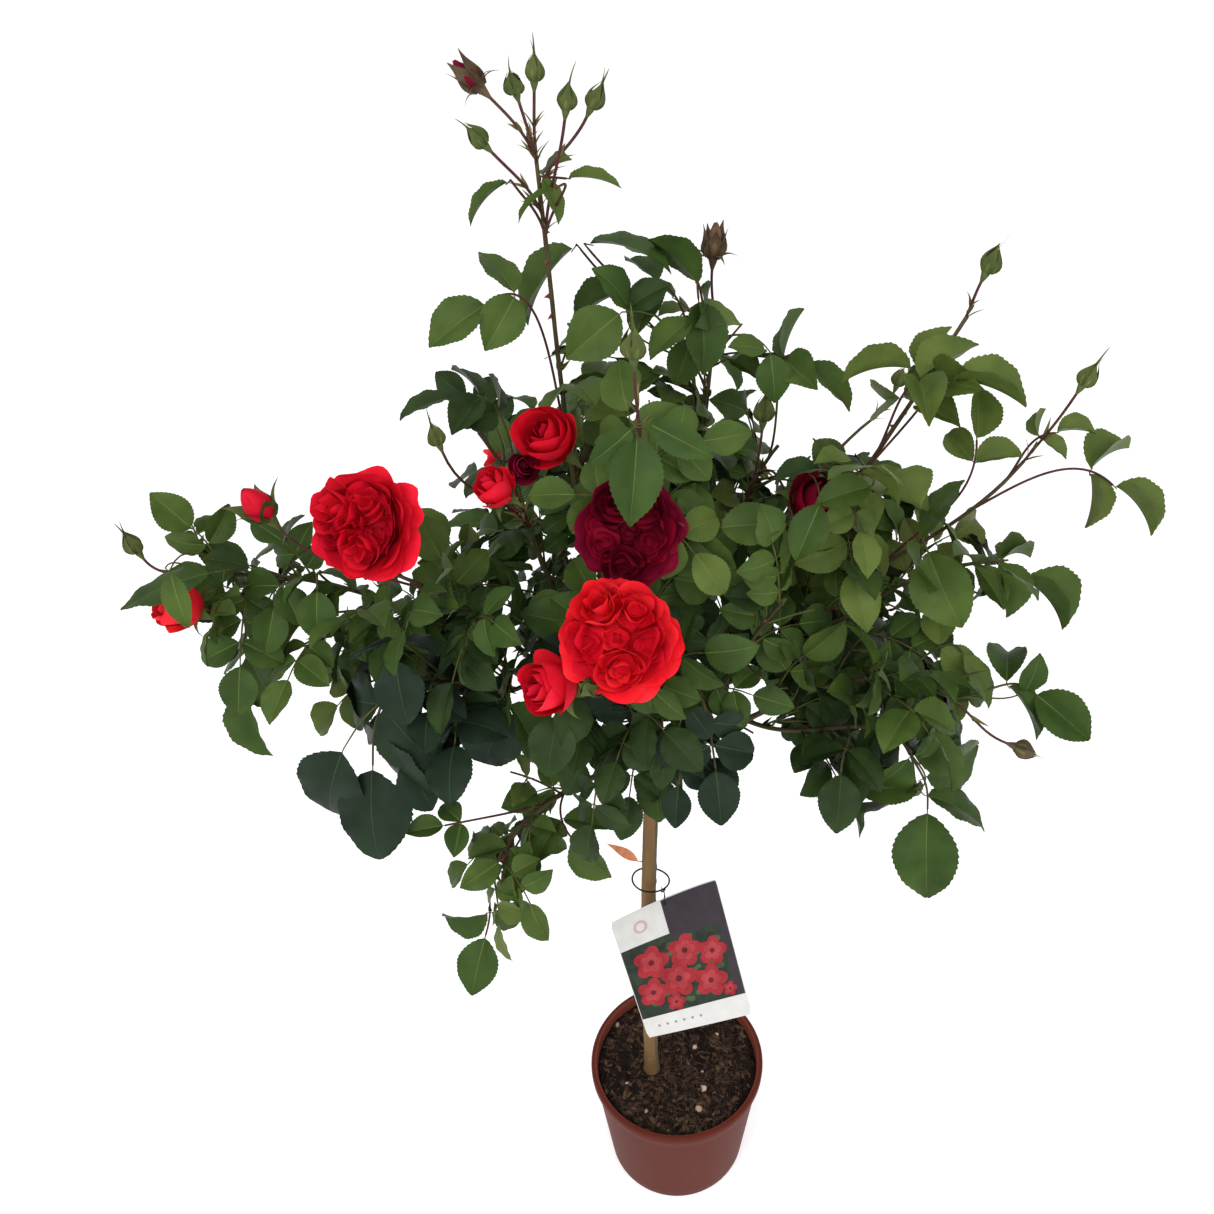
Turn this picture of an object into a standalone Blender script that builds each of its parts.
"""A potted tree rose: a clean stem under a loose head of canes, leaves, blooms and buds, in its pot.

Metres, +Z up, the front is -Y. The origin is the middle of the pot's flat underside.
The head is made of canes. The inner part of a cane is a bough, and its outer part is the stem of a mass:
a stem with side shoots, pinnate leaves, blooms and buds that are all joined into one solid.
"""

import math
from collections import namedtuple
from random import Random

import bmesh
import bpy
from mathutils import Matrix, Vector
from mathutils.bvhtree import BVHTree
from mathutils.kdtree import KDTree

# The pot, a plain tapered nursery pot with a rolled rim
POT_HEIGHT = 0.164
POT_RIM_RADIUS = 0.095
POT_BASE_RADIUS = 0.077
POT_RIM_DEPTH = 0.012
POT_RIM_STEP = 0.0035
POT_WALL = 0.0028
POT_FLOOR = 0.004
POT_FOOT_BEVEL = 0.004
POT_FOOT_HEIGHT = 0.006
POT_ROUND = 0.0018
POT_SIDES = 28
SOIL_TOP = 0.152
SOIL_BUMP = 0.0035
SOIL_GAP = 0.0004
SOIL_LEVEL_REACH = 0.034
SOIL_RINGS = (0.82, 0.60, 0.36)

# The trunk, from a flat cut at the soil to the swollen union that carries the canes
TRUNK_FOOT = Vector((-0.028, -0.006, 0.0))
TRUNK_RADIUS = 0.0076
TRUNK_TOP_RADIUS = 0.0066
TRUNK_FLARE_RADIUS = 0.0115
TRUNK_FLARE_HEIGHT = 0.03
TRUNK_FLARE_MIDDLE = (0.010, 0.0092)
TRUNK_SHARES = (0.25, 0.5, 0.75)
TRUNK_BOW = 0.004
UNION = Vector((-0.021, 0.002, 0.630))
UNION_RADIUS = 0.0165
UNION_NECK = 0.033
UNION_DEGREES = (-62, -32, 0, 30, 60, 82)
TRUNK_SIDES = 10
TRUNK_STEPS = 8

# Canes, stems and twigs
CANE_RADIUS = 0.0033
BOUGH_TIP_RADIUS = 0.0023
STEM_TIP_RADIUS = 0.0013
TWIG_RADIUS = 0.0012
CARRIED_SHARE = 0.8
BOUGH_SIDES = 6
CANE_STEPS = 8
TWIG_STEPS = 2
STEM_SIDES = 3
TWIG_SIDES = 3
GAP = 0.0003
SEAT_GAP = 0.0005
SEAT_REACH = 0.05
SEAT_RAYS = 12
CURVE_PULL = 0.38
SHOOT_FOLLOW = 0.8
SHOOT_LIFT = 0.3
SIDE_PLACE = (0.35, 0.65)
SIDE_TURN = (0.0, 1.2)
SIDE_LENGTHS = (0.8, 1.2)
SIDE_LONGEST = 1.15
SIDE_SHRINK = 0.5
SIDE_FOLLOW = 0.7
SIDE_OUTWARD = 0.5
SIDE_RISE = (-0.5, 0.3)

# Leaves: each has a stalk with pairs of leaflets and one at its end
LEAF_STEP = 0.028
LEAF_FIRST = 0.016
LEAF_SHRINK = 0.2
LEAF_TURNS = (0, 0.5, 0.25, 0.75)
SIDE_LEAFY = 0.9
LEAF_TURN = (0.0, 1.0)
LEAF_FORWARD = (0.4, 0.9)
LEAF_OUTWARD = 0.45
LEAF_LIFT = 0.15
LEAF_SIZES = (0.86, 1.12)
LEAF_SAGS = (0.8, 1.2)
END_SIZES = (0.9, 1.1)
END_SAG = 0.6
LEAF_SPREAD = math.radians(64)
LEAF_UMBRELLA = 0.32
LEAF_SAG = 0.36
LEAFLET_WIDTH = 0.80
LEAFLET_THICKNESS = 0.0011
LEAFLET_FOLD = 0.16
LEAFLET_CURL = 0.10
LEAFLET_EDGE = ((0.30, 0.96), (0.68, 0.80), (1.0, 0.0), (0.68, -0.80), (0.30, -0.96))
LEAFLET_MIDDLE = 0.46
NOTCH = 0.0011
LEAFLETS_APART = math.radians(2)
LEAF_SUNK = 0.0014
SHOOT_STALK = 0.005
STALK_SHARE = 0.60
PAIR_STEP = 0.52
BACK_SHARE = 0.10
LARGER_THAN_LIFE = 1.20
GOLDEN_ANGLE = math.radians(137.5)
LEAF_LIGHT = Vector((0.0, -0.35, 0.8))
LIGHT_OUTWARD = 0.55
SHOOT_LIGHT = Vector((0.0, -0.75, 0.65))
UP = Vector((0.0, 0.0, 1.0))
CROWN_CENTRE = Vector((-0.020, 0.0, 0.80))
SPACE_GIVE = 0.030
REACH_GIVE = 0.035
SKELETON_STEP = 0.004
CLEAR = 0.0016

# The plant label
LABEL_WIDTH = 0.100
LABEL_HEIGHT = 0.128
LABEL_THICKNESS = 0.0012
LABEL_CORNER = 0.004
LABEL_CORNER_STEPS = 4
LABEL_AZIMUTH = -98
LABEL_LIFT = 38
LABEL_ROLL = math.radians(-20)
TIE_HEIGHT = 0.480
TIE_RADIUS = 0.0155
TIE_THICKNESS = 0.0009
TIE_FRONT = math.radians(-55)
TIE_SIDES = 20
TIE_TO_LABEL = 0.0027

# A cane runs from the union, or from the side of another cane's bough, to its tip.
# azimuth is in degrees, 0 along +X and seen from above; reach and height are in metres from the origin;
# rise and fall are the cane's angles above the horizon, in degrees, where it starts and where it ends;
# bough is the share of the cane that is its bough, or 0 where the whole cane is a mass's stem.
# sides is how many side shoots the seeded rule adds, and spread is about how long they are;
# leaf is the length of a leaflet; leafy is the share of the stem that carries leaves and side shoots.
Cane = namedtuple("Cane", "carrier at azimuth reach height rise fall bough sides spread leaf leafy")
CANES = {
    "tall": Cane("union", 0, 167, 0.090, 1.150, 72, 87, 0.384, 0, 0.06, 0.042, 0.65),
    "north": Cane("union", 0, 71, 0.085, 1.005, 72, 82, 0.42, 2, 0.06, 0.042, 0.95),
    "front_top": Cane("union", 0, -103, 0.101, 1.015, 60, 88, 0.42, 1, 0.05, 0.044, 0.92),
    "north_east": Cane("union", 0, 0, 0.190, 1.045, 62, 66, 0.44, 1, 0.07, 0.042, 0.62),
    "south_east": Cane("union", 0, -23, 0.227, 0.782, 38, -20, 0.42, 2, 0.06, 0.042, 0.96),
    "south": Cane("union", 0, -80, 0.118, 0.800, 28, -35, 0.44, 1, 0.05, 0.038, 0.96),
    "south_west": Cane("union", 0, -137, 0.197, 0.640, 30, -65, 0.42, 2, 0.05, 0.034, 0.96),
    "west": Cane("union", 0, -171, 0.345, 0.872, 44, 0, 0.40, 3, 0.07, 0.036, 0.96),
    "back_west": Cane("union", 0, 132, 0.245, 0.860, 38, 10, 0.44, 4, 0.08, 0.042, 0.96),
    "back": Cane("union", 0, 92, 0.235, 0.800, 20, -8, 0.44, 4, 0.08, 0.042, 0.96),
    "back_east": Cane("union", 0, 46, 0.240, 0.870, 38, 12, 0.44, 4, 0.08, 0.042, 0.96),
    "east": Cane("north_east", 0.40, -7, 0.240, 0.868, 26, 8, 0.36, 2, 0.07, 0.044, 0.96),
    "west_high": Cane("west", 0.45, -155, 0.209, 0.900, 66, 44, 0.30, 2, 0.06, 0.040, 0.90),
    "north_west": Cane("tall", 0.50, 178, 0.140, 0.955, 44, 60, 0, 2, 0.05, 0.040, 0.96),
    "east_high": Cane("east", 0.62, -4, 0.242, 0.945, 72, 62, 0, 0, 0.08, 0.036, 0.60),
    "north_inner": Cane("north", 0.80, 35, 0.123, 0.930, 40, 30, 0, 2, 0.06, 0.040, 0.96),
    "south_east_low": Cane("south_east", 0.80, -29, 0.200, 0.738, -6, -62, 0, 1, 0.05, 0.042, 0.96),
    "front_east": Cane("south", 0.70, -50, 0.116, 0.880, 60, 60, 0, 2, 0.06, 0.044, 0.96),
    "front": Cane("front_top", 0.62, -104, 0.150, 0.872, 16, 50, 0, 2, 0.05, 0.040, 0.90),
    "west_low": Cane("west", 0.80, -152, 0.238, 0.800, 2, -55, 0, 1, 0.06, 0.044, 0.96),
    "back_low": Cane("back", 0.70, 118, 0.190, 0.700, 4, -44, 0, 3, 0.07, 0.042, 0.96),
    "east_low": Cane("back_east", 0.60, 22, 0.215, 0.720, 6, -40, 0, 3, 0.07, 0.042, 0.96),
}

# A shoot is a side twig whose leaf shows at the crown's edge. It leaves its cane at a share of the cane's
# length, and it ends where its leaf's last leaflet starts. to and fall are that leaflet's azimuth and its
# angle above the horizon, in degrees; pairs is how many pairs of leaflets stand behind it.
Shoot = namedtuple("Shoot", "cane at azimuth reach height to fall pairs leaf")
SHOOTS = (
    Shoot("tall", 0.89, 180, 0.102, 1.133, -160, -35, 0, 0.036),
    Shoot("tall", 0.88, -172, 0.074, 1.132, -165, -30, 0, 0.030),
    Shoot("tall", 0.86, 164, 0.072, 1.128, 0, -5, 1, 0.034),
    Shoot("tall", 0.576, 180, 0.123, 1.054, -155, -30, 2, 0.046),
    Shoot("north", 0.80, 144, 0.084, 1.073, -150, -45, 0, 0.062),
    Shoot("north", 0.84, 141, 0.079, 1.074, 0, -10, 0, 0.060),
    Shoot("north", 0.90, 64, 0.033, 1.044, -75, -65, 1, 0.050),
    Shoot("north", 0.70, 118, 0.068, 1.037, -165, -25, 1, 0.046),
    Shoot("north_west", 0.62, 180, 0.152, 0.985, -160, -10, 2, 0.040),
    Shoot("front_top", 0.89, -101, 0.122, 1.028, -100, -60, 1, 0.060),
    Shoot("north_inner", 0.77, 24, 0.098, 0.991, -30, -35, 1, 0.046),
    Shoot("north_east", 0.64, -4, 0.158, 1.012, 175, -10, 2, 0.048),
    Shoot("north_east", 0.73, -11, 0.180, 1.017, -20, -10, 2, 0.050),
    Shoot("east_high", 0.80, -8, 0.300, 0.941, -40, -30, 1, 0.042),
    Shoot("east_high", 0.50, -3, 0.208, 0.958, 95, 60, 1, 0.036),
    Shoot("east_high", 0.92, -4, 0.259, 0.968, -15, 10, 1, 0.026),
    Shoot("east", 0.74, -20, 0.184, 0.900, -62, -42, 1, 0.056),
    Shoot("east", 0.98, -9, 0.253, 0.859, -40, -25, 2, 0.046),
    Shoot("south_east", 0.80, -16, 0.219, 0.807, -55, -35, 1, 0.044),
    Shoot("south_east", 0.97, -17, 0.275, 0.785, -45, -25, 1, 0.050),
    Shoot("south_east_low", 0.60, -45, 0.170, 0.743, -95, -45, 1, 0.044),
    Shoot("south_east_low", 0.99, -27, 0.219, 0.680, -95, -50, 2, 0.070),
    Shoot("south", 0.90, -78, 0.133, 0.757, -80, -45, 2, 0.040),
    Shoot("south", 0.47, -99, 0.106, 0.729, -85, -45, 2, 0.038),
    Shoot("west", 0.97, -171, 0.336, 0.880, -150, -20, 2, 0.036),
    Shoot("west", 0.85, -173, 0.310, 0.870, -175, 25, 0, 0.036),
    Shoot("west", 0.76, -161, 0.260, 0.884, -90, -55, 1, 0.034),
    Shoot("west", 0.66, -164, 0.291, 0.867, -90, -50, 1, 0.034),
    Shoot("west", 0.62, -166, 0.326, 0.793, -65, -50, 1, 0.056),
    Shoot("west_low", 0.50, -149, 0.224, 0.848, -70, -50, 1, 0.044),
    Shoot("west_low", 0.99, -152, 0.252, 0.748, -90, -50, 2, 0.070),
    Shoot("front", 0.50, -118, 0.169, 0.829, -100, -45, 1, 0.042),
    Shoot("south_west", 0.99, -138, 0.208, 0.574, -110, -40, 1, 0.048),
    Shoot("south_west", 0.80, -134, 0.194, 0.666, -145, -15, 1, 0.034),
    Shoot("south_west", 0.60, -141, 0.221, 0.706, -165, 0, 1, 0.028),
    Shoot("south_west", 0.50, -124, 0.145, 0.670, -40, -35, 1, 0.042),
)

# A flower stands on its own twig, which leaves its cane at a share of the cane's length.
# face and lift are the azimuth and the angle above the horizon that it looks to, in degrees.
Flower = namedtuple("Flower", "cane at azimuth reach height kind size face lift")
FLOWERS = (
    Flower("west_high", 0.97, -154, 0.227, 0.948, "open", 0.074, -112, 38),
    Flower("front", 0.97, -102, 0.174, 0.912, "open", 0.073, -96, 42),
    Flower("front_top", 0.60, -104, 0.124, 0.956, "open", 0.066, -92, 30),
    Flower("front", 0.70, -116, 0.190, 0.873, "half", 0.038, -140, 25),
    Flower("north_west", 0.80, -150, 0.099, 0.985, "half", 0.038, -110, 50),
    Flower("north_west", 0.66, -150, 0.139, 0.958, "half", 0.026, -150, 60),
    Flower("north_inner", 0.70, -23, 0.106, 0.929, "half", 0.036, -60, 35),
    Flower("west", 0.86, -167, 0.358, 0.867, "half", 0.034, -150, 30),
    Flower("west_high", 0.78, -170, 0.290, 0.930, "cracked", 0.022, -175, 62),
    Flower("west", 0.98, -173, 0.385, 0.895, "bud", 0.013, 175, 70),
    Flower("north_west", 0.96, -166, 0.165, 0.978, "bud", 0.012, 170, 75),
    Flower("front", 0.85, -106, 0.197, 0.889, "bud", 0.013, -110, 60),
    Flower("north", 0.98, 72, 0.084, 1.061, "cracked", 0.016, 60, 82),
    Flower("front_top", 0.99, -104, 0.103, 1.073, "bud", 0.015, 90, 86),
    Flower("north_east", 0.99, 0, 0.200, 1.082, "bud", 0.014, 10, 70),
    Flower("east_high", 0.99, -4, 0.272, 1.011, "bud", 0.013, 20, 62),
    Flower("north_inner", 0.35, 18, 0.065, 0.964, "bud", 0.015, 60, 84),
    Flower("south_east", 0.96, -21, 0.277, 0.745, "cracked", 0.014, -10, -18),
    Flower("back", 0.97, 90, 0.272, 0.800, "open", 0.072, 88, 36),
    Flower("back_west", 0.97, 124, 0.268, 0.812, "open", 0.066, 122, 36),
    Flower("back_east", 0.80, 56, 0.248, 0.812, "half", 0.038, 60, 44),
    Flower("back_east", 0.99, 44, 0.262, 0.905, "bud", 0.013, 40, 66),
    Flower("east_low", 0.80, 20, 0.240, 0.765, "half", 0.034, 10, 40),
    Flower("tall", 0.98, 166, 0.128, 1.184, "cracked", 0.014, 165, 42),
    Flower("tall", 0.97, 180, 0.095, 1.189, "bud", 0.012, -112, 66),
    Flower("tall", 0.99, 158, 0.093, 1.188, "bud", 0.012, 80, 74),
    Flower("tall", 0.88, 171, 0.066, 1.178, "bud", 0.012, 0, 80),
    Flower("tall", 0.94, 149, 0.058, 1.173, "bud", 0.012, 20, 60),
    Flower("tall", 0.91, 180, 0.119, 1.159, "bud", 0.012, -170, 50),
)

Twig = namedtuple("Twig", "mass name points start end sides")
Leaf = namedtuple("Leaf", "mass root leaflets")
Leaflet = namedtuple("Leaflet", "base along face length")


def polar(azimuth, reach, height):
    """A point from its azimuth in degrees, its reach from the pot's axis and its height."""
    angle = math.radians(azimuth)
    return Vector((reach * math.cos(angle), reach * math.sin(angle), height))


def heading(azimuth, lift):
    """A unit vector from an azimuth and an angle above the horizon, both in degrees."""
    level = math.cos(math.radians(lift))
    return polar(azimuth, level, math.sin(math.radians(lift)))


def across(vector, along):
    """The unit part of a vector that is square to the unit vector along."""
    rest = vector - along * vector.dot(along)
    if rest.length < 1e-4:
        rest = Vector((1.0, 0.0, 0.0)) - along * along.x
    return rest.normalized()


def curve(start, leave, arrive, end, steps):
    """Points along a cubic curve that starts and ends in the two unit directions."""
    pull = (end - start).length * CURVE_PULL
    a = start + leave * pull
    b = end - arrive * pull
    points = []
    for i in range(steps + 1):
        t = i / steps
        s = 1 - t
        points.append(s**3 * start + 3 * s * s * t * a + 3 * s * t * t * b + t**3 * end)
    return points


def measure(points):
    """The running length at each point."""
    lengths = [0.0]
    for a, b in zip(points, points[1:]):
        lengths.append(lengths[-1] + (b - a).length)
    return lengths


def place_on(points, distance):
    """The point and the direction at a distance along a line of points."""
    left = distance
    for a, b in zip(points, points[1:]):
        piece = (b - a).length
        if left <= piece or b is points[-1]:
            return a + (b - a) * (left / piece), (b - a).normalized()
        left -= piece


def cut(points, low, high):
    """The stretch of a line of points between two shares of its length."""
    lengths = measure(points)
    total = lengths[-1]
    inner = [p for p, at in zip(points, lengths) if low * total < at < high * total]
    return [place_on(points, low * total)[0], *inner, place_on(points, high * total)[0]]


# Planning: where every limb, twig, leaf and flower goes


def radius_at(name, share):
    """The radius of a cane's bough at a share of the bough's length."""
    start = start_radius(name)
    return start + (BOUGH_TIP_RADIUS - start) * share


def start_radius(name):
    """The radius that a cane starts with: full from the union, and less from the side of another cane."""
    cane = CANES[name]
    if cane.carrier == "union":
        return CANE_RADIUS
    return radius_at(cane.carrier, cane.at) * CARRIED_SHARE


def seat(root, way, radius, carrier):
    """Where a round limb that runs this way from inside its carrier's solid first stands clear of it."""
    shape = BVHTree.FromPolygons(*carrier)
    corner = across(UP, way) * radius
    offsets = [Vector()]
    for i in range(SEAT_RAYS):
        turned = Matrix.Rotation(2 * math.pi * i / SEAT_RAYS, 3, way) @ corner
        offsets += [turned, turned / 2]
    farthest = 0.0
    for offset in offsets:
        hit = shape.ray_cast(root + offset + way * SEAT_REACH, -way)[0]
        if hit is not None:
            farthest = max(farthest, (hit - root).dot(way))
    return root + way * (farthest + SEAT_GAP)


def cane_line(name):
    """The middle line of a whole cane."""
    cane = CANES[name]
    tip = polar(cane.azimuth, cane.reach, cane.height)
    if cane.carrier == "union":
        root = UNION
        carrier = trunk_shape()
    else:
        bough = bough_line(cane.carrier)
        root, _ = place_on(bough, measure(bough)[-1] * cane.at)
        carrier = bough_shape(cane.carrier)
    facing = math.degrees(math.atan2(tip.y - root.y, tip.x - root.x))
    leave = heading(facing, cane.rise)
    start = seat(root, leave, start_radius(name), carrier)
    return curve(start, leave, heading(facing, cane.fall), tip, CANE_STEPS)


def bough_line(name):
    """The middle line of a cane's bough."""
    return cut(cane_line(name), 0, CANES[name].bough)


def stem_line(name):
    """The middle line of a mass's stem, which starts clear of its bough's tip."""
    line = cane_line(name)
    share = CANES[name].bough
    if not share:
        return line
    return cut(line, share + GAP / measure(line)[-1], 1)


def stem_twig(name):
    radius = BOUGH_TIP_RADIUS if CANES[name].bough else start_radius(name)
    return Twig(name, "stem", stem_line(name), radius, STEM_TIP_RADIUS, STEM_SIDES)


def shoot_twig(number):
    """A shoot's twig, which ends where its leaf's own stalk starts."""
    shoot = SHOOTS[number]
    line = cane_line(shoot.cane)
    root, along = place_on(line, measure(line)[-1] * shoot.at)
    end = polar(shoot.azimuth, shoot.reach, shoot.height)
    leave = (along * SHOOT_FOLLOW + (end - root).normalized() + UP * SHOOT_LIFT).normalized()
    line = curve(root, leave, heading(shoot.to, shoot.fall), end, CANE_STEPS)
    length = measure(line)[-1]
    if shoot.pairs:
        length -= shoot.leaf * PAIR_STEP + SHOOT_STALK
    points = [place_on(line, length * i / TWIG_STEPS)[0] for i in range(TWIG_STEPS + 1)]
    return Twig(shoot.cane, f"shoot_{number}", points, TWIG_RADIUS, TWIG_RADIUS, TWIG_SIDES)


def flower_twig(number):
    """The twig that carries a flower, ending where the flower starts."""
    flower = FLOWERS[number]
    line = cane_line(flower.cane)
    root, along = place_on(line, measure(line)[-1] * flower.at)
    look = heading(flower.face, flower.lift)
    middle = polar(flower.azimuth, flower.reach, flower.height)
    end = middle - look * FLOWER_DEPTH[flower.kind] * flower.size
    toward = (end - root).normalized()
    leave = (along + toward).normalized()
    points = curve(root, leave, look, end, TWIG_STEPS)
    return Twig(flower.cane, f"flower_{number}", points, TWIG_RADIUS, TWIG_RADIUS, TWIG_SIDES)


def side_twig(name, number):
    """A side shoot of a mass's stem, turned round the stem by the golden angle from the one before."""
    cane = CANES[name]
    draw = Random(f"{name}/side/{number}")
    line = stem_line(name)
    total = measure(line)[-1]
    share = (number + draw.uniform(*SIDE_PLACE)) / cane.sides
    root, along = place_on(line, total * share * cane.leafy)
    turn = Matrix.Rotation(GOLDEN_ANGLE * number + draw.uniform(*SIDE_TURN), 3, along)
    sideways = turn @ across(UP, along)
    outward = across(root - CROWN_CENTRE, UP)
    length = cane.spread * draw.uniform(*SIDE_LENGTHS) * (SIDE_LONGEST - SIDE_SHRINK * share)
    leave = (along * SIDE_FOLLOW + sideways).normalized()
    arrive = (leave + outward * SIDE_OUTWARD + UP * draw.uniform(*SIDE_RISE)).normalized()
    end = root + (leave + arrive).normalized() * length
    points = curve(root, leave, arrive, end, TWIG_STEPS)
    return Twig(name, f"side_{number}", points, TWIG_RADIUS, TWIG_RADIUS, TWIG_SIDES)


def leaf_on(twig, number, distance, size, turned):
    """A pinnate leaf at a distance along a twig, turned round the twig a share of a full turn more."""
    draw = Random(f"{twig.mass}/{twig.name}/{number}")
    root, along = place_on(twig.points, distance)
    angle = GOLDEN_ANGLE * number + draw.uniform(*LEAF_TURN) + 2 * math.pi * turned
    sideways = Matrix.Rotation(angle, 3, along) @ across(UP, along)
    outward = across(root - CROWN_CENTRE, UP)
    way = sideways + along * draw.uniform(*LEAF_FORWARD) + outward * LEAF_OUTWARD + UP * LEAF_LIFT
    size = size * draw.uniform(*LEAF_SIZES)
    return grow_leaf(twig.mass, root, way.normalized(), size, draw.uniform(*LEAF_SAGS))


def end_leaf(twig, size):
    """The leaf that a side shoot ends in."""
    draw = Random(f"{twig.mass}/{twig.name}/end")
    root, along = place_on(twig.points, measure(twig.points)[-1] - LEAF_SUNK)
    return grow_leaf(twig.mass, root, along, size * draw.uniform(*END_SIZES), END_SAG)


def grow_leaf(mass, root, way, size, sag):
    """A leaf with three leaflets on a straight stalk that hangs a little."""
    way = (way - UP * LEAF_SAG * sag).normalized()
    stalk = [root, root + way * size * (STALK_SHARE + PAIR_STEP)]
    outward = across(root - CROWN_CENTRE, UP)
    light = LEAF_LIGHT + outward * LIGHT_OUTWARD
    return Leaf(mass, root, leaflets_along(stalk, size, 1, light))


def leaflets_along(stalk, size, pairs, light):
    """One leaflet at a stalk's end and pairs of them behind it, turned to the light like an umbrella."""
    total = measure(stalk)[-1]
    leaflets = []
    for number in range(pairs + 1):
        base, way = place_on(stalk, total - size * PAIR_STEP * number)
        face = across(light, way)
        if number == 0:
            leaflets.append(Leaflet(base, way, face, size))
            continue
        aside = way.cross(face)
        for sign in (1, -1):
            level = way * math.cos(LEAF_SPREAD) + aside * sign * math.sin(LEAF_SPREAD)
            along = (level - face * LEAF_UMBRELLA).normalized()
            length = size * (1 - BACK_SHARE * number)
            leaflets.append(Leaflet(base, along, across(face, along), length))
    return leaflets


# Shapes: closed meshes as lists of points and faces


def tube(points, radii, sides):
    """A closed tube along points, with flat ends. The first ring has a corner towards +Z where it can."""
    ways = [(b - a).normalized() for a, b in zip(points, points[1:])]
    along = [ways[0]]
    along += [(a + b).normalized() for a, b in zip(ways, ways[1:])]
    along.append(ways[-1])
    corner = across(UP, along[0])
    verts = []
    for point, way, radius in zip(points, along, radii):
        corner = across(corner, way)
        side = way.cross(corner)
        for i in range(sides):
            angle = 2 * math.pi * i / sides
            verts.append(point + (corner * math.cos(angle) + side * math.sin(angle)) * radius)
    faces = [list(range(sides))[::-1]]
    for ring in range(len(points) - 1):
        for i in range(sides):
            a = ring * sides + i
            b = ring * sides + (i + 1) % sides
            faces.append([a, b, b + sides, a + sides])
    faces.append([len(verts) - sides + i for i in range(sides)])
    return verts, faces


def lathe(profile, sides, base, axis):
    """A closed turned solid from (radius, distance) pairs up its axis, with a point at each end."""
    axis = axis.normalized()
    corner = across(UP, axis)
    side = axis.cross(corner)
    verts = [base + axis * profile[0][1]]
    for radius, up in profile[1:-1]:
        for i in range(sides):
            angle = 2 * math.pi * i / sides
            ring = corner * math.cos(angle) + side * math.sin(angle)
            verts.append(base + axis * up + ring * radius)
    verts.append(base + axis * profile[-1][1])
    last = len(verts) - 1
    rings = len(profile) - 2
    faces = []
    for i in range(sides):
        j = (i + 1) % sides
        faces.append([0, 1 + j, 1 + i])
        for ring in range(rings - 1):
            a = 1 + ring * sides
            faces.append([a + i, a + j, a + sides + j, a + sides + i])
        top = 1 + (rings - 1) * sides
        faces.append([top + i, top + j, last])
    return verts, faces


def rim(leaflet, grow):
    """The points of a leaflet's edge from its right over its tip to its left, as seen with its tip up."""
    along = leaflet.along
    aside = along.cross(leaflet.face)
    length = leaflet.length + grow
    half = LEAFLET_WIDTH * length / 2
    points = []
    for share, wide in LEAFLET_EDGE:
        drop = LEAFLET_FOLD * abs(wide) * half + LEAFLET_CURL * length * share * share
        points.append(leaflet.base + along * length * share + aside * half * wide - leaflet.face * drop)
    return points


def blade(points, middle, face, grow):
    """A thin closed blade: a ring of points round a middle that is thickest there and thins to its edge."""
    half_thick = (LEAFLET_THICKNESS + grow) / 2
    count = len(points)
    verts = [*points, middle + face * half_thick, middle - face * half_thick]
    faces = []
    for i in range(count):
        j = (i + 1) % count
        faces.append([i, j, count])
        faces.append([j, i, count + 1])
    return verts, faces


def one_leaflet(leaflet, grow):
    """A leaflet on its own, its root sunk in its twig's end."""
    middle = leaflet.base + leaflet.along * leaflet.length * LEAFLET_MIDDLE
    root = leaflet.base - leaflet.along * (LEAF_SUNK + grow)
    return blade([root, *rim(leaflet, grow)], middle, leaflet.face, grow)


def three_leaflets(root, leaflets, grow):
    """A stalk with a pair of leaflets and one at its end, as one blade round the place where they part."""
    last, right, left = leaflets
    hub = right.base
    aside = (right.along - left.along).normalized()
    way = across(hub - root, aside)
    face = aside.cross(way)

    def side_of(point):
        """The point's angle about the hub: 0 straight on, more to the right."""
        return math.atan2((point - hub).dot(aside), (point - hub).dot(way))

    def between(points, low, high):
        """The points turned about the hub, as far as they have to, into their own sector of the leaf."""
        kept = []
        for i, point in enumerate(points):
            most = high - LEAFLETS_APART * (i + 1)
            least = low + LEAFLETS_APART * (len(points) - i)
            turn = min(max(side_of(point), least), most) - side_of(point)
            kept.append(hub + Matrix.Rotation(-turn, 3, face) @ (point - hub))
        return kept

    def notch_at(angle):
        return hub + (way * math.cos(angle) + aside * math.sin(angle)) * (NOTCH + grow / 2)

    back = math.pi * 3 / 4
    tips = [side_of(part.base + part.along * part.length) for part in (right, last, left)]
    front_right = (tips[0] + tips[1]) / 2
    front_left = (tips[1] + tips[2]) / 2
    front = rim(last, grow)
    if side_of(front[0]) < side_of(front[-1]):
        front.reverse()
    points = [root, notch_at(back), *between(rim(right, grow), front_right, back), notch_at(front_right)]
    points += [*between(front, front_left, front_right), notch_at(front_left)]
    points += [*between(rim(left, grow), -back, front_left), notch_at(-back)]
    return blade(points, hub, face, grow)


def back_pair(right, left, grow):
    """A pair of leaflets further back on a shoot, as one blade across it."""
    face = (right.face + left.face).normalized()
    way = (right.along + left.along).normalized()
    hub = right.base
    notch = way * (NOTCH + grow / 2)
    return blade([hub - notch, *rim(right, grow), hub + notch, *rim(left, grow)], hub, face, grow)


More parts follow.
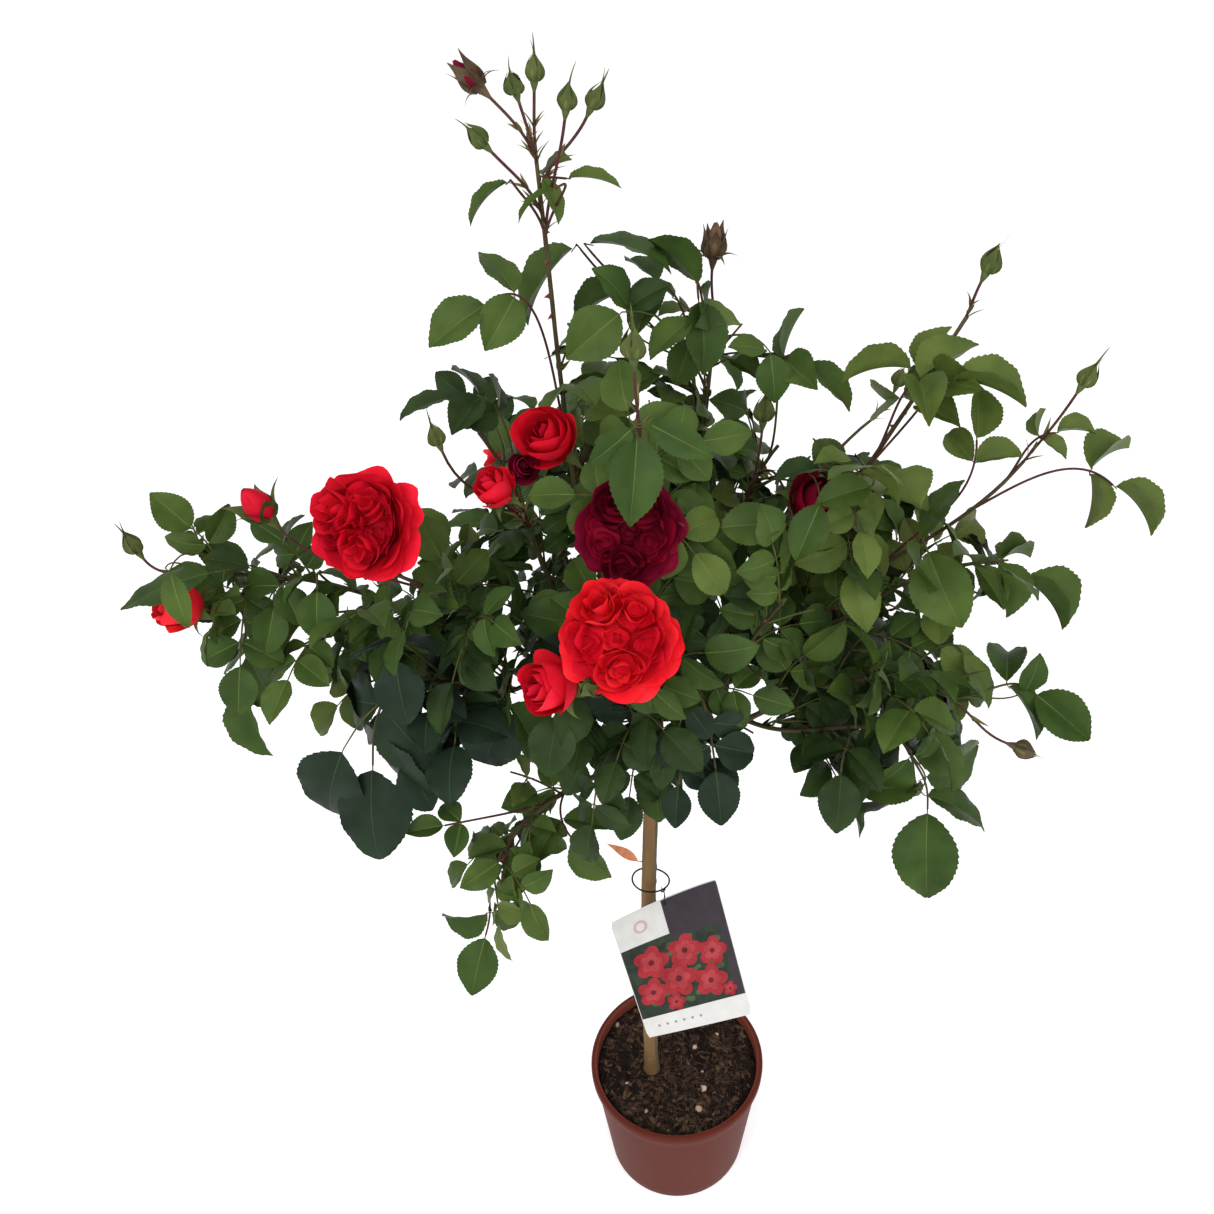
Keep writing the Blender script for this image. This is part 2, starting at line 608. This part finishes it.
# How deep each kind of flower is behind its middle, and its outline, both in diameters
FLOWER_DEPTH = {"open": 0.22, "half": 0.55, "cracked": 0.95, "bud": 0.95}
FLOWER_PROFILE = {
    "open": ((0, -0.26), (0.34, -0.13), (0.50, 0.02), (0.34, 0.18), (0, 0.20)),
    "half": ((0, -0.62), (0.34, -0.36), (0.48, 0.0), (0.40, 0.30), (0, 0.36)),
    "cracked": ((0, -1.05), (0.26, -0.75), (0.50, -0.20), (0.42, 0.35), (0, 1.0)),
    "bud": ((0, -1.05), (0.27, -0.75), (0.50, -0.20), (0.38, 0.35), (0, 1.15)),
}
FLOWER_SIDES = {"open": 8, "half": 7, "cracked": 5, "bud": 4}


def flower_solid(kind, size, middle, look):
    profile = [(radius * size, up * size) for radius, up in FLOWER_PROFILE[kind]]
    return lathe(profile, FLOWER_SIDES[kind], middle, look)


def taper(twig):
    count = len(twig.points) - 1
    return [twig.start + (twig.end - twig.start) * i / count for i in range(count + 1)]


def twig_solid(twig):
    return tube(twig.points, taper(twig), twig.sides)


def leaf_solids(leaf, grow=0.0):
    """The closed shapes of a leaf with one, three or five leaflets."""
    if len(leaf.leaflets) == 1:
        return [one_leaflet(leaf.leaflets[0], grow)]
    solids = [three_leaflets(leaf.root, leaf.leaflets[:3], grow)]
    if len(leaf.leaflets) > 3:
        solids.append(back_pair(*leaf.leaflets[3:], grow))
    return solids


# Keeping clear: a leaf or shoot stays in its mass's space and touches no limb and no other mass


class Room:
    """Knows where each mass's stems run and what already stands in the way."""

    def __init__(self, skeletons):
        self.own = {}
        self.other = {}
        self.things = []
        for name in skeletons:
            self.own[name] = self.tree(skeletons[name])
            rest = [p for other in skeletons if other != name for p in skeletons[other]]
            self.other[name] = self.tree(rest)

    @staticmethod
    def tree(points):
        found = KDTree(len(points))
        for i, point in enumerate(points):
            found.insert(point, i)
        found.balance()
        return found

    def inside(self, mass, point):
        """Whether a point is in a mass's own space: nearer to its stems than to the others', give or take."""
        own = self.own[mass].find(point)[2]
        other = self.other[mass].find(point)[2]
        return own < other + SPACE_GIVE

    def add(self, owner, solids):
        for verts, faces in solids:
            middle = sum(verts, Vector()) / len(verts)
            reach = max((v - middle).length for v in verts)
            self.things.append((owner, middle, reach, BVHTree.FromPolygons(verts, faces)))

    def free(self, carrier, solids):
        """Whether these closed shapes touch nothing that stands there, apart from what carries them."""
        for verts, faces in solids:
            middle = sum(verts, Vector()) / len(verts)
            reach = max((v - middle).length for v in verts)
            shape = BVHTree.FromPolygons(verts, faces)
            for owner, centre, size, other in self.things:
                if owner == carrier or (centre - middle).length > reach + size:
                    continue
                if shape.overlap(other):
                    return False
        return True


def address(twig):
    return f"{twig.mass}/{twig.name}"


def finely(points):
    """Points every few millimetres along a line."""
    total = measure(points)[-1]
    count = max(2, int(total / SKELETON_STEP))
    return [place_on(points, total * i / count)[0] for i in range(count + 1)]


def plan_crown():
    """Every twig and leaf of every mass that finds room, by mass."""
    twigs = {name: [stem_twig(name)] for name in CANES}
    for number, flower in enumerate(FLOWERS):
        twigs[flower.cane].append(flower_twig(number))
    for number, shoot in enumerate(SHOOTS):
        twigs[shoot.cane].append(shoot_twig(number))
    skeletons = {name: [p for twig in twigs[name] for p in finely(twig.points)] for name in CANES}
    leaves = {name: [] for name in CANES}
    room = Room(skeletons)
    room.add("trunk", [trunk_shape()])
    for name, cane in CANES.items():
        if cane.bough:
            room.add("limb", [bough_shape(name)])
        for twig in twigs[name]:
            room.add(address(twig), [twig_solid(twig)])
        room.add("flower", flowers_of(name))
    for number, shoot in enumerate(SHOOTS):
        leaf = shoot_leaf(number)
        room.add("leaf", leaf_solids(leaf))
        leaves[shoot.cane].append(leaf)
    for name, cane in CANES.items():
        for number in range(cane.sides):
            add_side(room, twigs[name], side_twig(name, number))
    for name in CANES:
        for twig in twigs[name]:
            for choices in leaves_of(twig):
                leaves[name] += first_free(room, twig, choices)
    return twigs, leaves


def add_side(room, twigs, twig):
    """Adds a side shoot if it stays in its mass's space and touches nothing but its stem."""
    wide = twig._replace(start=twig.start + CLEAR, end=twig.end + CLEAR)
    inside = all(room.inside(twig.mass, p) for p in twig.points)
    if inside and room.free(f"{twig.mass}/stem", [twig_solid(wide)]):
        room.add(address(twig), [twig_solid(twig)])
        twigs.append(twig)


def first_free(room, twig, choices):
    """The first leaf that stays in its mass's space and touches nothing but its twig, if there is one."""
    for leaf in choices:
        middles = [part.base + part.along * part.length / 2 for part in leaf.leaflets]
        tips = [part.base + part.along * part.length for part in leaf.leaflets]
        inside = all(room.inside(twig.mass, p) for p in middles)
        near = all(math.hypot(tip.x, tip.y) < CANES[twig.mass].reach + REACH_GIVE for tip in tips)
        if inside and near and room.free(address(twig), leaf_solids(leaf, CLEAR)):
            room.add("leaf", leaf_solids(leaf))
            return [leaf]
    return []


def shoot_leaf(number):
    """The leaf at a shoot's end. Its own stalk goes on from where the shoot's twig ends."""
    shoot = SHOOTS[number]
    stalk = list(shoot_twig(number).points)
    start = measure(stalk)[-1] - LEAF_SUNK
    if shoot.pairs:
        stalk.append(polar(shoot.azimuth, shoot.reach, shoot.height))
        start = min(start, measure(stalk)[-1] - shoot.leaf * PAIR_STEP - SHOOT_STALK)
    root, _ = place_on(stalk, start)
    return Leaf(shoot.cane, root, leaflets_along(stalk, shoot.leaf, shoot.pairs, SHOOT_LIGHT))


def leaves_of(twig):
    """For each leaf that a stem or a side shoot could carry, the ways it could be turned, best first."""
    if twig.name != "stem" and not twig.name.startswith("side"):
        return
    cane = CANES[twig.mass]
    size = cane.leaf * LARGER_THAN_LIFE
    total = measure(twig.points)[-1]
    leafy = cane.leafy if twig.name == "stem" else SIDE_LEAFY
    if twig.name.startswith("side"):
        yield [end_leaf(twig, size)]
    number = 0
    distance = LEAF_FIRST
    while distance < total * leafy:
        here = size * (1 - LEAF_SHRINK * distance / total)
        yield [leaf_on(twig, number, distance, here, turned) for turned in LEAF_TURNS]
        number += 1
        distance += LEAF_STEP


def flowers_of(name):
    """The solid of each flower on a mass."""
    found = []
    for flower in FLOWERS:
        if flower.cane == name:
            middle = polar(flower.azimuth, flower.reach, flower.height)
            look = heading(flower.face, flower.lift)
            found.append(flower_solid(flower.kind, flower.size, middle, look))
    return found


# Objects


def material(name, colour, roughness):
    made = bpy.data.materials.new(name)
    made.use_nodes = True
    shader = made.node_tree.nodes["Principled BSDF"]
    shader.inputs["Base Color"].default_value = (*colour, 1.0)
    shader.inputs["Roughness"].default_value = roughness
    shader.inputs["Metallic"].default_value = 0.0
    made.diffuse_color = (*colour, 1.0)
    return made


def new_object(name, verts, faces, finish, collection=None):
    mesh = bpy.data.meshes.new(name)
    mesh.from_pydata([tuple(v) for v in verts], [], faces)
    mesh.materials.append(finish)
    made = bpy.data.objects.new(name, mesh)
    (collection or bpy.context.scene.collection).objects.link(made)
    return made


def keep_main_body(mesh):
    """Drops loose scraps and fills sealed hollows: only the largest body of a mesh is kept."""
    work = bmesh.new()
    work.from_mesh(mesh)
    left = set(work.faces)
    bodies = []
    while left:
        body = set()
        edge = [left.pop()]
        while edge:
            face = edge.pop()
            body.add(face)
            for link in (e for loop_edge in face.edges for e in loop_edge.link_faces):
                if link in left:
                    left.discard(link)
                    edge.append(link)
        bodies.append(body)
    main = max(bodies, key=len)
    scraps = [face for body in bodies if body is not main for face in body]
    bmesh.ops.delete(work, geom=scraps, context="FACES")
    work.to_mesh(mesh)
    work.free()


def fuse(name, solids, finish):
    """Joins closed shapes into one solid with a Boolean union on a collection, applied."""
    pieces = bpy.data.collections.new(f"{name}_pieces")
    bpy.context.scene.collection.children.link(pieces)
    made = new_object(name, *solids[0], finish)
    for number, solid in enumerate(solids[1:]):
        new_object(f"{name}_{number}", *solid, finish, pieces)
    union = made.modifiers.new("union", "BOOLEAN")
    union.operation = "UNION"
    union.operand_type = "COLLECTION"
    union.collection = pieces
    union.solver = "MANIFOLD"
    graph = bpy.context.evaluated_depsgraph_get()
    joined = bpy.data.meshes.new_from_object(made.evaluated_get(graph))
    made.modifiers.clear()
    made.data = joined
    joined.name = name
    for piece in list(pieces.objects):
        bpy.data.objects.remove(piece)
    bpy.data.collections.remove(pieces)
    keep_main_body(joined)
    return made


def make_pot(finish):
    """The pot, turned from one closed profile that runs down its outside and up its inside."""
    rim_low = POT_HEIGHT - POT_RIM_DEPTH
    neck = POT_RIM_RADIUS - POT_RIM_STEP
    inner = neck - POT_WALL
    profile = (
        (POT_BASE_RADIUS - POT_FOOT_BEVEL, 0.0),
        (POT_BASE_RADIUS, POT_FOOT_HEIGHT),
        (neck, rim_low - POT_ROUND),
        (POT_RIM_RADIUS - POT_ROUND / 2, rim_low),
        (POT_RIM_RADIUS, rim_low + POT_ROUND),
        (POT_RIM_RADIUS, POT_HEIGHT - POT_ROUND),
        (POT_RIM_RADIUS - POT_ROUND, POT_HEIGHT),
        (inner + POT_ROUND, POT_HEIGHT),
        (inner, POT_HEIGHT - POT_ROUND),
        (POT_BASE_RADIUS - POT_WALL, POT_FLOOR),
    )
    verts = []
    for radius, up in profile:
        for i in range(POT_SIDES):
            angle = 2 * math.pi * i / POT_SIDES
            verts.append((radius * math.cos(angle), radius * math.sin(angle), up))
    faces = [list(range(POT_SIDES))[::-1]]
    for ring in range(len(profile) - 1):
        for i in range(POT_SIDES):
            a = ring * POT_SIDES + i
            b = ring * POT_SIDES + (i + 1) % POT_SIDES
            faces.append([a, b, b + POT_SIDES, a + POT_SIDES])
    faces.append([len(verts) - POT_SIDES + i for i in range(POT_SIDES)])
    pot = new_object("pot", verts, faces, finish)
    pot.data.shade_smooth()
    pot.data.set_sharp_from_angle(angle=math.radians(30))
    return pot


def pot_inner_radius(height):
    """The inside radius of the pot's wall at a height."""
    low = POT_BASE_RADIUS - POT_WALL
    high = POT_RIM_RADIUS - POT_RIM_STEP - POT_WALL
    return low + (high - low) * (height - POT_FLOOR) / (POT_HEIGHT - POT_ROUND - POT_FLOOR)


def make_soil(finish):
    """The soil that fills the pot, clear of its wall, with a lumpy top that is level round the trunk."""
    draw = Random("soil")
    low = POT_FLOOR + GAP
    rings = [(pot_inner_radius(up) - SOIL_GAP, up) for up in (low, SOIL_TOP)]
    outer = rings[1][0]
    verts = []
    for radius, up in rings:
        for i in range(POT_SIDES):
            angle = 2 * math.pi * i / POT_SIDES
            verts.append(Vector((radius * math.cos(angle), radius * math.sin(angle), up)))
    for share in SOIL_RINGS:
        for i in range(POT_SIDES):
            angle = 2 * math.pi * i / POT_SIDES
            point = Vector((outer * share * math.cos(angle), outer * share * math.sin(angle), SOIL_TOP))
            away = (point - Vector((TRUNK_FOOT.x, TRUNK_FOOT.y, SOIL_TOP))).length
            if away > SOIL_LEVEL_REACH:
                point.z += draw.uniform(-1, 1) * SOIL_BUMP
            verts.append(point)
    faces = [list(range(POT_SIDES))[::-1]]
    inner = len(verts) - POT_SIDES
    for first in range(0, inner, POT_SIDES):
        for i in range(POT_SIDES):
            a = first + i
            b = first + (i + 1) % POT_SIDES
            faces.append([a, b, b + POT_SIDES])
            faces.append([a, b + POT_SIDES, a + POT_SIDES])
    verts.append(Vector((0.0, 0.0, SOIL_TOP)))
    for i in range(POT_SIDES):
        faces.append([inner + i, inner + (i + 1) % POT_SIDES, len(verts) - 1])
    return new_object("soil", verts, faces, finish)


def trunk_line():
    """The trunk's middle line, bowed a little to the left between its foot and the union."""
    foot = TRUNK_FOOT + UP * (SOIL_TOP + GAP)
    points = []
    for i in range(TRUNK_STEPS + 1):
        t = i / TRUNK_STEPS
        points.append(foot.lerp(UNION, t) - Vector((TRUNK_BOW * math.sin(math.pi * t), 0, 0)))
    return points


def trunk_shape():
    """The trunk as one tapering tube, flared at its foot and swollen to a round union at its top."""
    line = trunk_line()
    total = measure(line)[-1]
    stations = [(0.0, TRUNK_FLARE_RADIUS), TRUNK_FLARE_MIDDLE, (TRUNK_FLARE_HEIGHT, TRUNK_RADIUS)]
    for share in TRUNK_SHARES:
        stations.append((total * share, TRUNK_RADIUS + (TRUNK_TOP_RADIUS - TRUNK_RADIUS) * share))
    stations.append((total - UNION_NECK, TRUNK_TOP_RADIUS))
    points = [place_on(line, at)[0] for at, _ in stations]
    radii = [radius for _, radius in stations]
    for degrees in UNION_DEGREES:
        angle = math.radians(degrees)
        points.append(UNION + UP * UNION_RADIUS * math.sin(angle))
        radii.append(UNION_RADIUS * math.cos(angle))
    return level_tube(points, radii, TRUNK_SIDES)


def level_tube(points, radii, sides):
    """A closed tube whose rings all lie level, for an upright trunk cut flat at the ground."""
    verts = []
    for point, radius in zip(points, radii):
        for i in range(sides):
            angle = 2 * math.pi * i / sides
            verts.append(point + Vector((math.cos(angle), math.sin(angle), 0)) * radius)
    faces = [list(range(sides))[::-1]]
    for ring in range(len(points) - 1):
        for i in range(sides):
            a = ring * sides + i
            b = ring * sides + (i + 1) % sides
            faces.append([a, b, b + sides, a + sides])
    faces.append([len(verts) - sides + i for i in range(sides)])
    return verts, faces


def bough_shape(name):
    line = bough_line(name)
    count = len(line) - 1
    radii = [radius_at(name, i / count) for i in range(count + 1)]
    return tube(line, radii, BOUGH_SIDES)


def make_label(card_finish, tie_finish):
    """A plain plant label: a thin card with round corners, held at its top edge by a loop round the trunk."""
    line = trunk_line()
    share = (TIE_HEIGHT - line[0].z) / (line[-1].z - line[0].z)
    trunk = place_on(line, measure(line)[-1] * share)[0]
    front = Vector((math.cos(TIE_FRONT), math.sin(TIE_FRONT), 0.0))
    trunk_radius = TRUNK_RADIUS + (TRUNK_TOP_RADIUS - TRUNK_RADIUS) * share
    centre = trunk + front * (TIE_RADIUS - TIE_THICKNESS - trunk_radius - GAP)
    side = UP.cross(front)
    verts = []
    for i in range(TIE_SIDES):
        angle = 2 * math.pi * i / TIE_SIDES
        out = front * math.cos(angle) + side * math.sin(angle)
        for dx, dz in ((-1, -1), (1, -1), (1, 1), (-1, 1)):
            verts.append(centre + out * (TIE_RADIUS + dx * TIE_THICKNESS) + UP * dz * TIE_THICKNESS)
    faces = []
    for i in range(TIE_SIDES):
        for k in range(4):
            a = i * 4 + k
            b = i * 4 + (k + 1) % 4
            c = (i + 1) % TIE_SIDES * 4 + (k + 1) % 4
            d = (i + 1) % TIE_SIDES * 4 + k
            faces.append([a, d, c, b])
    new_object("label_tie", verts, faces, tie_finish)

    face = heading(LABEL_AZIMUTH, LABEL_LIFT)
    level = UP.cross(face).normalized()
    upward = Matrix.Rotation(-LABEL_ROLL, 3, face) @ face.cross(level)
    sideways = upward.cross(face)
    outline = []
    for cx, cy, first in ((1, 1, 0), (-1, 1, 90), (-1, -1, 180), (1, -1, 270)):
        for step in range(LABEL_CORNER_STEPS):
            angle = math.radians(first + 90 * step / (LABEL_CORNER_STEPS - 1))
            x = cx * (LABEL_WIDTH / 2 - LABEL_CORNER) + LABEL_CORNER * math.cos(angle)
            y = cy * (LABEL_HEIGHT / 2 - LABEL_CORNER) + LABEL_CORNER * math.sin(angle)
            outline.append(sideways * x + upward * (y - LABEL_HEIGHT / 2))
    hang = centre + front * (TIE_RADIUS + TIE_TO_LABEL)
    count = len(outline)
    verts = [hang + point for point in outline]
    verts += [hang + point + face * LABEL_THICKNESS for point in outline]
    faces = [list(range(count))[::-1], list(range(count, 2 * count))]
    for i in range(count):
        j = (i + 1) % count
        faces.append([i, j, j + count, i + count])
    new_object("label_card", verts, faces, card_finish)


def main():
    for old in list(bpy.data.objects):
        bpy.data.objects.remove(old)
    clay = material("terracotta_plastic", (0.33, 0.10, 0.06), 0.5)
    earth = material("potting_soil", (0.05, 0.032, 0.022), 0.95)
    bark = material("rose_bark", (0.13, 0.12, 0.06), 0.7)
    cane_skin = material("cane_green", (0.07, 0.10, 0.03), 0.6)
    leaf_green = material("rose_leaf", (0.045, 0.10, 0.025), 0.5)
    card = material("label_card", (0.75, 0.74, 0.72), 0.4)
    black = material("label_tie", (0.02, 0.02, 0.02), 0.5)

    make_pot(clay)
    make_soil(earth)
    new_object("trunk", *trunk_shape(), bark)
    make_label(card, black)
    for name, cane in CANES.items():
        if cane.bough:
            new_object(f"bough_{name}", *bough_shape(name), cane_skin)
    twigs, leaves = plan_crown()
    for name in CANES:
        solids = [twig_solid(twig) for twig in twigs[name]]
        solids += flowers_of(name)
        for leaf in leaves[name]:
            solids += leaf_solids(leaf)
        fuse(f"mass_{name}", solids, leaf_green)


main()
